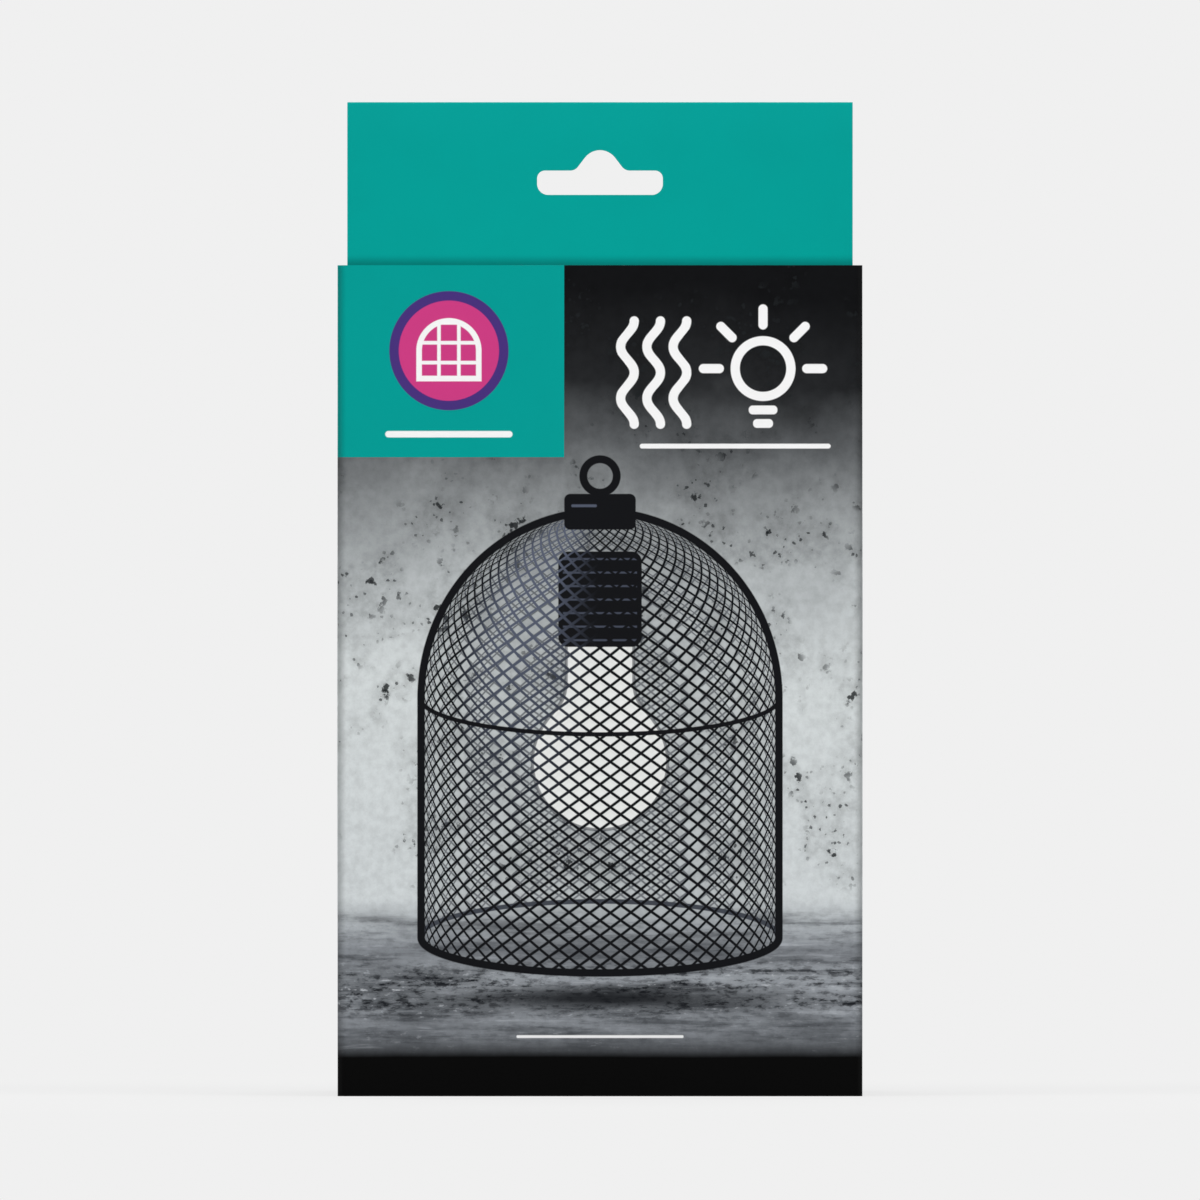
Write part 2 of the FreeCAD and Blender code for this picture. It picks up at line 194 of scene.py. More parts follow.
# The four walls: a box without ends, its upright edges folded round.
def add_walls():
    bpy.ops.object.select_all(action="DESELECT")
    bpy.ops.mesh.primitive_cube_add(
        size=1, location=(0, 0, HEIGHT / 2), scale=(WIDTH, DEPTH, HEIGHT)
    )
    sheet = bpy.context.object
    sheet.name = "carton_sheet"
    bpy.ops.object.transform_apply(location=True, rotation=True, scale=True)
    edit(sheet)
    bpy.ops.mesh.select_all(action="DESELECT")
    mesh = bmesh.from_edit_mesh(sheet.data)
    for edge in mesh.edges:
        edge.select_set(not near(edge.verts[0].co.z, edge.verts[1].co.z))
    bmesh.update_edit_mesh(sheet.data)
    bpy.ops.mesh.bevel(offset=FOLD, segments=FOLD_STEPS, affect="EDGES")
    trim(sheet, lambda co, normal: abs(normal.z) > FACING)

    for across, at in (
        ("z", HEIGHT - WALL_END),
        ("z", WALL_END),
        ("z", FOLD),
        ("x", W - CORNER),
        ("x", CORNER - W),
        ("x", PANEL_SIDE),
        ("x", -PANEL_SIDE),
        ("y", FLAP_SIDE),
        ("y", -FLAP_SIDE),
        ("y", D - SEAM_SETBACK),
    ):
        score(across, at)

    def side_end(co, normal):
        inside = WALL_END < co.z < HEIGHT - WALL_END
        return abs(normal.x) > FLAT and abs(co.y) < D - FOLD and not inside

    def back_end(co, normal):
        return normal.y > FLAT and co.z < FOLD and abs(co.x) < W - CORNER

    def seam(co, normal):
        return co.x < CORNER - W and co.y > D - SEAM_SETBACK

    trim(sheet, side_end)
    trim(sheet, back_end)
    trim(sheet, seam)
    return sheet


# From the back wall's left edge, round the corner and along the inside of the left wall.
def fold_glue_flap(sheet):
    fold_at = CORNER - W
    pick_edges(sheet, lambda co: near(co.x, fold_at) and near(co.y, D))
    turn((fold_at, D - SEAM_FOLD, 0), (0, 0, 1), 90)
    run(y=SEAM_FOLD - SEAM_LAP)
    pick_edges(sheet, lambda co: near(co.x, fold_at - SEAM_FOLD) and near(co.y, D - SEAM_LAP)
               and WALL_END - MM < co.z < HEIGHT - WALL_END + MM)
    run(y=SEAM_LAP - GLUE_FLAP)
    shrink = 1 - 2 * GLUE_FLAP_TAPER / (HEIGHT - 2 * WALL_END)
    bpy.ops.transform.resize(value=(1, 1, shrink), center_override=(0, D, HEIGHT / 2))


# Up from the back wall, over in a half round, down as the second ply, forward as the lid
# and down again behind the front wall.
def fold_header_and_lid(sheet):
    pick_edges(sheet, lambda co: near(co.y, D) and near(co.z, HEIGHT)
               and abs(co.x) < PANEL_SIDE + SLIP)
    run(z=HEADER_HEIGHT - BOARD)
    turn((0, D - BOARD, TOP - BOARD), (1, 0, 0), 180, 2 * FOLD_STEPS)
    run(z=BOARD + CREASE - HEADER_HEIGHT)
    ply = D - 2 * BOARD
    turn((0, ply - CREASE, HEIGHT + CREASE), (1, 0, 0), -90)
    tuck_fold = -D + BOARD + SLIP + CLOSING_FOLD
    run(y=tuck_fold - ply + CREASE)
    turn((0, tuck_fold, HEIGHT - CLOSING_FOLD), (1, 0, 0), 90)
    run(z=CLOSING_FOLD - TUCK_LENGTH)
    round_tuck(sheet, HEIGHT - TUCK_LENGTH)


# The base: forward from the back wall's foot, and up behind the front wall.
def fold_base(sheet):
    pick_edges(sheet, lambda co: near(co.y, D) and near(co.z, FOLD)
               and abs(co.x) < PANEL_SIDE + SLIP)
    turn((0, D - FOLD, FOLD), (1, 0, 0), -90)
    tuck_fold = -D + BOARD + SLIP + CLOSING_FOLD
    run(y=tuck_fold - D + FOLD)
    turn((0, tuck_fold, CLOSING_FOLD), (1, 0, 0), -90)
    run(z=TUCK_LENGTH - CLOSING_FOLD)
    round_tuck(sheet, TUCK_LENGTH)


# Rounds the two free corners of the tuck whose edge lies at this level.
def round_tuck(sheet, level):
    bpy.ops.mesh.select_mode(type="VERT")
    bpy.ops.mesh.select_all(action="DESELECT")
    mesh = bmesh.from_edit_mesh(sheet.data)
    for vertex in mesh.verts:
        at_corner = near(abs(vertex.co.x), PANEL_SIDE) and near(vertex.co.z, level)
        vertex.select_set(at_corner and vertex.co.y < 0)
    bmesh.update_edit_mesh(sheet.data)
    bpy.ops.mesh.bevel(offset=TUCK_CORNER, segments=TUCK_STEPS, affect="VERTICES")
    bpy.ops.mesh.select_mode(type="EDGE")


# A dust flap, in from a side wall. Side is +1 at the right and -1 at the left, and end is
# +1 at the lid and -1 at the base.
def fold_dust_flap(sheet, side, end):
    level = HEIGHT - WALL_END if end > 0 else WALL_END
    pick_edges(sheet, lambda co: near(co.x, side * W) and near(co.z, level)
               and abs(co.y) < FLAP_SIDE + SLIP)
    turn((side * (W - FOLD), 0, level), (0, 1, 0), -90 * side * end)
    run(x=side * (FOLD - FLAP_SHOULDER))
    run(x=side * (FLAP_SHOULDER - FLAP_LENGTH))
    shrink = 1 - FLAP_TAPER / FLAP_SIDE
    bpy.ops.transform.resize(value=(1, shrink, 1), center_override=(0, 0, 0))


# How far a point of the sheet stands off its flat panel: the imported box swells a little,
# and the board is never quite even.
def relief(co, normal):
    across = max(0.0, 1 - (co.x / W) ** 2)
    along = max(0.0, 1 - (co.y / D) ** 2)
    up = max(0.0, 1 - (2 * co.z / HEIGHT - 1) ** 2)
    wave = noise.noise(co * WAVE_FREQUENCY) * WAVE
    if abs(normal.x) > FACING and abs(co.x) > W - 2 * BOARD:
        return normal * (SWELL + wave) * along * up
    if co.z > HEIGHT + CREASE:
        rise = (co.z - HEIGHT) / HEADER_HEIGHT
        return Vector((0, -HEADER_CURL * rise * (1 - across) + wave * rise, 0))
    if abs(normal.y) > FACING and abs(co.y) > D - 0.5 * BOARD:
        return normal * (SWELL + wave) * across * up
    if abs(normal.z) > FACING and not WALL_END < co.z < HEIGHT - WALL_END:
        return Vector((0, 0, LID_SWELL + wave)) * across * along
    return Vector((0, 0, 0))


def fold_carton():
    sheet = add_walls()
    fold_glue_flap(sheet)
    fold_header_and_lid(sheet)
    fold_base(sheet)
    for side in (1, -1):
        for end in (1, -1):
            fold_dust_flap(sheet, side, end)
    bpy.ops.mesh.select_all(action="SELECT")
    bpy.ops.mesh.remove_doubles(threshold=MERGE)
    bpy.ops.mesh.normals_make_consistent(inside=False)
    reach = int((W - FOLD) / GRID)
    for line in range(-reach, reach + 1):
        score("x", line * GRID)
        score("y", line * GRID)
    for line in range(1, int(TOP / GRID)):
        score("z", line * GRID)
    score("x", BLOCK_RIGHT * MM)
    score("z", BLOCK_FOOT * MM)
    bpy.ops.object.mode_set(mode="OBJECT")
    front = min(sheet.data.polygons, key=lambda face: face.center.y)
    if front.normal.y > 0:
        sheet.data.flip_normals()
    moves = [relief(vertex.co, vertex.normal) for vertex in sheet.data.vertices]
    for vertex, move in zip(sheet.data.vertices, moves):
        vertex.co += move
    return sheet


# Gives the piece a modifier with these settings, and applies it.
def finish_with(piece, kind, **settings):
    modifier = piece.modifiers.new(kind.lower(), kind)
    for name, value in settings.items():
        setattr(modifier, name, value)
    bpy.ops.object.select_all(action="DESELECT")
    piece.select_set(True)
    bpy.context.view_layer.objects.active = piece
    bpy.ops.object.modifier_apply(modifier=modifier.name)


# The punch that cuts the hanger slot: a bar through the header, with a ridge drawn up from
# its middle, and its corners rounded.
def make_punch():
    bar = HEIGHT + SLOT_LIFT
    shoulder = bar + SLOT_BAR
    apex = bar + SLOT_HEIGHT - HUMP_RADIUS + HUMP_RADIUS / math.cos(HUMP_SLOPE)
    foot = (apex - shoulder) / math.tan(HUMP_SLOPE)
    half = SLOT_WIDTH / 2
    bpy.ops.object.select_all(action="DESELECT")
    bpy.ops.mesh.primitive_cube_add(
        size=1, location=(0, D, bar + SLOT_BAR / 2), scale=(SLOT_WIDTH, PUNCH_LENGTH, SLOT_BAR)
    )
    punch = bpy.context.object
    bpy.ops.object.transform_apply(location=True, rotation=True, scale=True)
    edit(punch, "FACE")
    score("x", -foot)
    score("x", foot)
    pick_faces(punch, lambda co, normal: normal.z > FACING and abs(co.x) < foot)
    run(z=apex - shoulder)
    bpy.ops.transform.resize(value=(0, 1, 1), center_override=(0, D, apex))
    bpy.ops.mesh.select_all(action="SELECT")
    bpy.ops.mesh.remove_doubles(threshold=MERGE)
    bpy.ops.mesh.dissolve_limited(angle_limit=math.radians(1))
    bpy.ops.mesh.select_mode(type="EDGE")
    for x, z, radius, corner in (
        (half, bar, SLOT_LOWER, math.pi / 2),
        (half, shoulder, SLOT_UPPER, math.pi / 2),
        (foot, shoulder, HUMP_ROOT, HUMP_SLOPE),
        (0, apex, HUMP_RADIUS, 2 * HUMP_SLOPE),
    ):
        for at in sorted({x, -x}):
            pick_edges(punch, lambda co: near(co.x, at) and near(co.z, z))
            round_over(radius, corner)
    bpy.ops.object.mode_set(mode="OBJECT")
    return punch


# Rounds the selected edges to a radius, where the outline turns by the angle named corner.
# The bevel's profile of 0.5 is only round at a right angle, so it is set for each corner.
def round_over(radius, corner):
    profile = (1 - 0.5 / (1 + math.cos(corner / 2))) ** 2
    bpy.ops.mesh.bevel(offset=radius * math.tan(corner / 2), segments=2 * FOLD_STEPS,
                       profile=profile, affect="EDGES")


# A colour as it is printed, in 8-bit values, made linear for the shaders.
def ink(red, green, blue):
    linear = [
        ((c / 255 + 0.055) / 1.055) ** 2.4 if c > 10 else c / 3294 for c in (red, green, blue)
    ]
    return (*linear, 1.0)


TEAL = ink(2, 157, 150)
MAGENTA = ink(207, 62, 132)
VIOLET = ink(73, 51, 124)
WHITE = ink(250, 250, 250)
STEEL = ink(17, 18, 21)
FAR_STEEL = ink(66, 70, 78)
SHEEN = ink(104, 112, 132)
FOOT_BLACK = ink(1, 2, 2)
BLACK = ink(0, 0, 0)
STREAK = ink(30, 33, 38)
PALE_STREAK = ink(196, 201, 208)
GRIT = ink(20, 22, 27)
PALE_GRIT = ink(206, 210, 216)
PIT_GREY = ink(30, 33, 35)
SHADOW_GREY = ink(18, 20, 24)
GUARD_TINT = ink(30, 34, 42)
LAMP_GLASS = ink(238, 239, 237)
LAMP_LINE = ink(96, 99, 103)
GREYBOARD = ink(176, 170, 158)
GREYBOARD_FLECK = ink(140, 134, 122)
FIBRE = ink(214, 210, 202)
FIBRE_FLECK = ink(160, 156, 148)

# How wide an ink's edge is, from full to none, in millimetres.
EDGE = 0.22

# The mix node's sockets where it mixes colours.
MIX_FACTOR, MIX_UNDER, MIX_OVER, MIX_RESULT = 0, 6, 7, 2


def link(tree, value, socket):
    if isinstance(value, Measure):
        value = value.socket
    if isinstance(value, bpy.types.NodeSocket):
        tree.links.new(value, socket)
    else:
        socket.default_value = value


# A number that changes over the sheet, worked out by math nodes.
class Measure:
    def __init__(self, tree, socket):
        self.tree = tree
        self.socket = socket

    def calc(self, operation, *others):
        node = self.tree.nodes.new("ShaderNodeMath")
        node.operation = operation
        for value, socket in zip((self, *others), node.inputs):
            link(self.tree, value, socket)
        return Measure(self.tree, node.outputs[0])

    def __add__(self, other):
        return self.calc("ADD", other)

    def __sub__(self, other):
        return self.calc("SUBTRACT", other)

    def __mul__(self, other):
        return self.calc("MULTIPLY", other)

    def __truediv__(self, other):
        return self.calc("DIVIDE", other)

    def __neg__(self):
        return self.calc("MULTIPLY", -1.0)

    def __abs__(self):
        return self.calc("ABSOLUTE")

    def least(self, other):
        return self.calc("MINIMUM", other)

    def most(self, other):
        return self.calc("MAXIMUM", other)

    def root(self):
        return self.most(0.0).calc("SQRT")

    # Rises smoothly from 0 at start to 1 at end, which may be the lower of the two.
    def clear_of(self, start, end):
        node = self.tree.nodes.new("ShaderNodeMapRange")
        node.interpolation_type = "SMOOTHSTEP"
        link(self.tree, self, node.inputs["Value"])
        node.inputs["From Min"].default_value = start
        node.inputs["From Max"].default_value = end
        return Measure(self.tree, node.outputs[0])

    # How much of the ink covers a point this far outside a shape's edge.
    def inked(self):
        node = self.tree.nodes.new("ShaderNodeMapRange")
        link(self.tree, self, node.inputs["Value"])
        node.inputs["From Min"].default_value = EDGE / 2
        node.inputs["From Max"].default_value = -EDGE / 2
        return Measure(self.tree, node.outputs[0])


# Shapes. Each gives a point's distance outside the shape's edge, in millimetres.
def disc(x, z, radius):
    return (x * x + z * z).root() - radius


def plate(x, z, half_width, half_height, corner):
    across = abs(x) - (half_width - corner)
    up = abs(z) - (half_height - corner)
    return disc(across.most(0.0), up.most(0.0), corner) + across.most(up).least(0.0)


def stroke(x, z, start, end, weight):
    reach = (end[0] - start[0], end[1] - start[1])
    length = math.hypot(*reach)
    along = (x - start[0]) * (reach[0] / length) + (z - start[1]) * (reach[1] / length)
    held = along.most(0.0).least(length)
    return disc(x - start[0] - held * (reach[0] / length),
                z - start[1] - held * (reach[1] / length), weight / 2)


def oval(x, z, half_width, flatness):
    flat = z / flatness
    steep = flat / flatness
    reach = (x * x + flat * flat).root()
    return (reach - half_width) * (reach / (x * x + steep * steep).root().most(0.001))


def line_of(distance, weight):
    return abs(distance) - weight / 2


def mix(tree, factor, under, over, blend="MIX"):
    node = tree.nodes.new("ShaderNodeMix")
    node.data_type = "RGBA"
    node.blend_type = blend
    link(tree, factor, node.inputs[MIX_FACTOR])
    link(tree, under, node.inputs[MIX_UNDER])
    link(tree, over, node.inputs[MIX_OVER])
    return node.outputs[MIX_RESULT]


def cloud(tree, point, scale, detail=2.0, roughness=0.5, stretch=(1, 1, 1)):
    spread = tree.nodes.new("ShaderNodeMapping")
    spread.inputs["Scale"].default_value = stretch
    link(tree, point, spread.inputs["Vector"])
    node = tree.nodes.new("ShaderNodeTexNoise")
    node.inputs["Scale"].default_value = scale
    node.inputs["Detail"].default_value = detail
    node.inputs["Roughness"].default_value = roughness
    tree.links.new(spread.outputs[0], node.inputs["Vector"])
    return Measure(tree, node.outputs["Fac"])


def start_group(name, inputs, outputs):
    tree = bpy.data.node_groups.new(name, "ShaderNodeTree")
    for label, kind in inputs:
        tree.interface.new_socket(label, in_out="INPUT", socket_type=kind)
    for label, kind in outputs:
        tree.interface.new_socket(label, in_out="OUTPUT", socket_type=kind)
    return tree, tree.nodes.new("NodeGroupInput"), tree.nodes.new("NodeGroupOutput")


def split(tree, point):
    node = tree.nodes.new("ShaderNodeSeparateXYZ")
    link(tree, point, node.inputs[0])
    return [Measure(tree, socket) for socket in node.outputs]


def place(tree, group, **values):
    node = tree.nodes.new("ShaderNodeGroup")
    node.node_tree = group
    for name, value in values.items():
        link(tree, value, node.inputs[name])
    return node


# The greys of the printed plaster wall and its floor, from the foot up: the level in
# millimetres, the grey, and by how much it is colder than a neutral one.
PLASTER_GREYS = (
    (0, 1, 0), (10, 2, 0), (15, 132, 5), (30, 162, 5), (37, 140, 5), (43, 190, 4),
    (50, 221, 1), (104, 224, 0), (128, 196, 1), (164, 98, 2), (180, 38, 2), (204, 15, 2),
)
PLASTER_TOP = 209

# Its pits come in two sizes: how close they lie, how large they are, and how dark.
PITS = ((0.21, 0.16, 0.92), (0.5, 0.15, 0.8))


# The plaster that is printed on the walls: light in the middle, black at foot and top, with
# soft clouds and pits, and low down a floor with stains, streaks and a band of grit.
def plaster_group():
    tree, given, result = start_group(
        "plaster", [("Point", "NodeSocketVector")], [("Color", "NodeSocketColor")]
    )
    point = given.outputs["Point"]
    z = split(tree, point)[2]
    clouds = cloud(tree, point, scale=0.04, detail=3.0, roughness=0.6)
    height = z + (clouds - 0.5) * (z.clear_of(60, 130) * 24 + 0.8)
    ramp = tree.nodes.new("ShaderNodeValToRGB")
    ramp.color_ramp.interpolation = "LINEAR"
    stops = ramp.color_ramp.elements
    while len(stops) < len(PLASTER_GREYS):
        stops.new(0.5)
    for stop, (level, grey, cold) in zip(stops, PLASTER_GREYS):
        stop.position = level / PLASTER_TOP
        stop.color = ink(0.975 * grey - 0.2 * cold, grey, 1.003 * grey + cold)
    link(tree, height / PLASTER_TOP, ramp.inputs[0])
    colour = ramp.outputs[0]

    grain = cloud(tree, point, scale=0.45, detail=6.0, roughness=0.66)
    colour = mix(tree, grain.clear_of(0.3, 0.75) * 0.18, colour, BLACK)

    streaks = cloud(tree, point, scale=0.3, detail=6.0, roughness=0.64, stretch=(0.1, 0.1, 1.2))
    grit = cloud(tree, point, scale=0.7, detail=5.0, roughness=0.65, stretch=(0.45, 0.45, 1.2))
    stains = cloud(tree, point, scale=0.1, detail=3.0, roughness=0.6, stretch=(0.3, 0.3, 1.2))
    floor = z.clear_of(49, 43) * z.clear_of(10, 15)
    band = z.clear_of(36, 29) * z.clear_of(18, 24)
    gritty = floor * (band * 0.75 + 0.25) * (streaks.clear_of(0.38, 0.58) * 0.6 + 0.4)
    for cover, tone in (
        (stains.clear_of(0.46, 0.66) * floor * 0.4, STREAK),
        (streaks.clear_of(0.46, 0.66) * floor * (band * 0.2 + 0.55), STREAK),
        (streaks.clear_of(0.44, 0.3) * floor * 0.42, PALE_STREAK),
        (grit.clear_of(0.48, 0.62) * gritty * 0.95, GRIT),
        (grit.clear_of(0.42, 0.28) * gritty * 0.8, PALE_GRIT),
    ):
        colour = mix(tree, cover, colour, tone)

    crowd = cloud(tree, point, scale=0.06, roughness=0.6).clear_of(0.46, 0.6)
    crowd = crowd * z.clear_of(50, 57)
    colour = mix(tree, crowd * grain * 0.2, colour, BLACK)
    ragged = cloud(tree, point, scale=0.7, detail=3.0, roughness=0.6) - 0.5
    for scale, size, depth in PITS:
        cells = tree.nodes.new("ShaderNodeTexVoronoi")
        cells.inputs["Scale"].default_value = scale
        link(tree, point, cells.inputs["Vector"])
        hollow = Measure(tree, cells.outputs["Distance"]) + ragged
        smudge = hollow.clear_of(size + 0.5, size) * crowd * 0.12
        colour = mix(tree, smudge, colour, BLACK)
        brim = hollow.clear_of(size + 0.16, size + 0.08) * crowd * 0.12
        colour = mix(tree, brim, colour, colour, "ADD")
        pit = hollow.clear_of(size + 0.09, size - 0.05) * crowd * depth
        colour = mix(tree, pit, colour, PIT_GREY)
    link(tree, colour, result.inputs["Color"])
    return tree


# The film over the print: a faint unevenness in its gloss and surface. It also darkens the
# print's colour along the carton's folds and the lid's crease, as far as each reach: painted
# shade.
FOLD_SHADE = 0.36
FOLD_REACH = 2.4
CREASE_SHADE = 0.44
CREASE_REACH = 4.0
FILM_GLOSS = 0.42
FILM_SPECULAR = 0.04


def film_and_painted_shade_group():
    tree, given, result = start_group(
        "film_and_painted_shade",
        [("Point", "NodeSocketVector"), ("Color", "NodeSocketColor"),
         ("Gloss", "NodeSocketFloat")],
        [("Color", "NodeSocketColor"), ("Roughness", "NodeSocketFloat"),
         ("Height", "NodeSocketFloat")],
    )
    point = given.outputs["Point"]
    x, y, z = split(tree, point)
    to_fold = (-abs(x) + W / MM).most(-abs(y) + D / MM)
    above = z - HEIGHT / MM
    on_lid = above.clear_of(-0.5, -0.2) * y.clear_of(D / MM - 0.3, D / MM - 0.9)
    fold = to_fold.clear_of(FOLD_REACH, 0.2) * above.clear_of(-0.1, -0.3)
    to_crease = above.most(-y + (D - 2 * BOARD) / MM)
    crease = to_crease.clear_of(CREASE_REACH, 0.8) * on_lid
    # Painted shade: the colour darkens towards the upright folds and towards the lid's crease.
    shade = (fold * FOLD_SHADE).most(crease * CREASE_SHADE)
    mottle = cloud(tree, point, scale=0.08, detail=3.0)
    # The painted shade, plus a faint mottle in the film's own tone.
    shade_and_mottle = shade + mottle.clear_of(0.35, 0.75) * 0.02
    colour = mix(tree, shade_and_mottle, given.outputs["Color"], BLACK)
    scuffs = cloud(tree, point, scale=1.2, roughness=0.7, stretch=(1, 1, 0.2))
    peel = cloud(tree, point, scale=0.9)
    link(tree, colour, result.inputs["Color"])
    rough = Measure(tree, given.outputs["Gloss"]) + (scuffs - 0.5) * 0.10 + (mottle - 0.5) * 0.08
    link(tree, rough, result.inputs["Roughness"])
    link(tree, peel + scuffs * 0.3, result.inputs["Height"])
    return tree


def start_material(name):
    material = bpy.data.materials.new(name)
    material.use_nodes = True
    tree = material.node_tree
    coordinates = tree.nodes.new("ShaderNodeTexCoord")
    spread = tree.nodes.new("ShaderNodeMapping")
    spread.inputs["Scale"].default_value = (1 / MM, 1 / MM, 1 / MM)
    tree.links.new(coordinates.outputs["Object"], spread.inputs["Vector"])
    return material, tree, spread.outputs[0], tree.nodes["Principled BSDF"]


def raise_surface(tree, height, shader, strength, depth):
    bump = tree.nodes.new("ShaderNodeBump")
    bump.inputs["Strength"].default_value = strength
    bump.inputs["Distance"].default_value = depth
    link(tree, height, bump.inputs["Height"])
    tree.links.new(bump.outputs[0], shader.inputs["Normal"])


# Puts the film on a print: its gloss and small bumps, and the painted shade along the folds and
# the lid's crease.
def film_and_painted_shade(tree, group, point, colour, shader):
    film_with_painted_shade = place(tree, group, Point=point, Color=colour, Gloss=FILM_GLOSS)
    tree.links.new(film_with_painted_shade.outputs["Color"], shader.inputs["Base Color"])
    tree.links.new(film_with_painted_shade.outputs["Roughness"], shader.inputs["Roughness"])
    shader.inputs["Specular IOR Level"].default_value = FILM_SPECULAR
    raise_surface(tree, film_with_painted_shade.outputs["Height"], shader, strength=0.12, depth=0.03 * MM)


# The figure on the front: a wire dome guard round a lamp, drawn in flat inks, in
# millimetres on the panel. It is seen from a little above, by GUARD_TILT.
GUARD_HALF = 45.0
GUARD_FOOT = 40.0
GUARD_SHOULDER = 100.0
GUARD_DOME = 47.0
GUARD_TILT = 0.2
MESH_ACROSS = 5.2
MESH_UP = 3.8
WIRE = 0.72
FAR_WIRE = 0.5
RIM_WEIGHT = 1.9
RIM_OVERLAP = 0.3
CAP_LEVEL = 147
EYE_LEVEL = 156
HOLDER_LEVEL = 125
HOLDER_FOOT = 113
NECK_LEVEL = 104
BULB_LEVEL = 84
SHADOW_LEVEL = 24.6
SHADOW_MIDDLE = 1.5
SHADOW_FLATNESS = 0.075


# The wires of a round mesh, as two families of slanting lines.
def mesh_wires(angle, level, weight):
    around = angle * (GUARD_HALF / MESH_ACROSS)
    climb = level / MESH_UP
    one = (around + climb).calc("PINGPONG", 0.5)
    other = (around - climb).calc("PINGPONG", 0.5)
    return (one.least(other) / math.hypot(1 / MESH_ACROSS, 1 / MESH_UP) - weight / 2).inked()


def print_guard(tree, colour, x, z):
    over = ((z - GUARD_SHOULDER) / GUARD_DOME).most(0.0).least(1.0)
    radius = (-(over * over) + 1).root() * GUARD_HALF
    share = (x / radius.most(0.01)).most(-1.0).least(1.0)
    toward = (-(share * share) + 1).root()
    angle = share.calc("ARCSINE")
    level = z.least(GUARD_SHOULDER) + over.calc("ARCSINE") * GUARD_DOME
    dip = toward * radius * GUARD_TILT
    rise = (z - GUARD_SHOULDER).most(0.0) * (GUARD_HALF / GUARD_DOME)
    aside = disc(x, rise, GUARD_HALF)
    below = -z + GUARD_FOOT
    mouth = oval(x, z - GUARD_FOOT, GUARD_HALF, GUARD_TILT)
    guard = aside.most(below.least(mouth))
    far_side = aside.most(below.most(-mouth))

    shadow = disc((x - SHADOW_MIDDLE) * SHADOW_FLATNESS, z - SHADOW_LEVEL, radius=0.0)
    colour = mix(tree, shadow.clear_of(5.2, 0.4) * 0.95, colour, SHADOW_GREY)
    colour = mix(tree, guard.inked() * 0.24, colour, GUARD_TINT)
    far_wires = mesh_wires(angle, level - dip, FAR_WIRE) * far_side.inked()
    colour = mix(tree, far_wires * 0.75, colour, FAR_STEEL)
    far_rim = line_of(mouth, 1.2).most(below)
    colour = mix(tree, far_rim.inked(), colour, FAR_STEEL)

    neck = plate(x, z - NECK_LEVEL, half_width=8.5, half_height=14, corner=3)
    glass = disc(x, z - BULB_LEVEL, radius=17).calc("SMOOTH_MIN", neck, 7.0)
    colour = mix(tree, glass.inked() * 0.9, colour, LAMP_GLASS)
    colour = mix(tree, line_of(glass, 0.8).inked() * 0.8, colour, LAMP_LINE)
    holder = plate(x, z - HOLDER_LEVEL, half_width=10.5, half_height=12, corner=2.5)
    colour = mix(tree, holder.inked(), colour, STEEL)
    ribs = line_of((z - HOLDER_FOOT).calc("PINGPONG", 1.7) - 1.7, 0.5).most(holder + 1.2)
    colour = mix(tree, ribs.inked() * 0.4, colour, SHEEN)

    shine = abs(angle + 0.5).clear_of(0.5, 0.1) * z.clear_of(60, 130)
    steel = mix(tree, shine * 0.7, STEEL, SHEEN)
    colour = mix(tree, mesh_wires(angle, level + dip, WIRE) * guard.inked(), colour, steel)
    band = oval(x, z - GUARD_SHOULDER, GUARD_HALF, GUARD_TILT)
    hoop = line_of(band, 1.1).most(z - GUARD_SHOULDER)
    rim = line_of(mouth, RIM_WEIGHT).most(z - GUARD_FOOT - RIM_OVERLAP)
    outline = line_of(aside, RIM_WEIGHT).most(below - RIM_OVERLAP)
    cap = plate(x, z - CAP_LEVEL, half_width=9, half_height=4.5, corner=1.5)
    eye = line_of(disc(x, z - EYE_LEVEL, radius=4.2), 2.0)
    solid = outline.least(rim).least(hoop).least(cap).least(eye)
    colour = mix(tree, solid.inked(), colour, STEEL)
    glint = plate(x + 4, z - (CAP_LEVEL + 1.5), half_width=3.2, half_height=0.35, corner=0.3)
    return mix(tree, glint.inked() * 0.6, colour, SHEEN)


# The two plain signs in the front's black top, at these places: rising heat, which is three
# waves side by side, and a lamp with rays.
SIGN_WEIGHT = 2.3
LAMP_X = 41
LAMP_Z = 183
RAY_START = 11
RAY_END = 15
HEAT_X = 13.5
HEAT_FOOT = 169
HEAT_TOP = 195
HEAT_WAVE = 13
HEAT_SWING = 1.7
HEAT_SPACING = 6.6


def print_signs(tree, colour, x, z):
    lamp_x, lamp_z = x - LAMP_X, z - LAMP_Z
    lamp = line_of(disc(lamp_x, lamp_z, radius=7.0), SIGN_WEIGHT)
    for drop, half_width in ((10.4, 3.6), (13.8, 2.5)):
        lamp = lamp.least(plate(lamp_x, lamp_z + drop, half_width, half_height=1.1, corner=1.0))
    for degrees in (0, 45, 90, 135, 180):
        way = (math.cos(math.radians(degrees)), math.sin(math.radians(degrees)))
        lamp = lamp.least(stroke(lamp_x, lamp_z, [part * RAY_START for part in way],
                                 [part * RAY_END for part in way], SIGN_WEIGHT))
    turning = 2 * math.pi / HEAT_WAVE
    turn = (z.most(HEAT_FOOT).least(HEAT_TOP) - HEAT_FOOT) * turning
    lean = turn.calc("SINE") * (HEAT_SWING * turning)
    line_x = x - turn.calc("COSINE") * HEAT_SWING - HEAT_X
    beside = line_x.calc("PINGPONG", HEAT_SPACING / 2) / (lean * lean + 1).root()
    beyond = (abs(z - (HEAT_FOOT + HEAT_TOP) / 2) - (HEAT_TOP - HEAT_FOOT) / 2).most(0.0)
    heat = disc(beside, beyond, SIGN_WEIGHT / 2).most(abs(line_x) - 8)
    rule = plate(x - 34, z - 163.5, half_width=24, half_height=0.6, corner=0.6)
    return mix(tree, lamp.least(heat).least(rule).inked(), colour, WHITE)


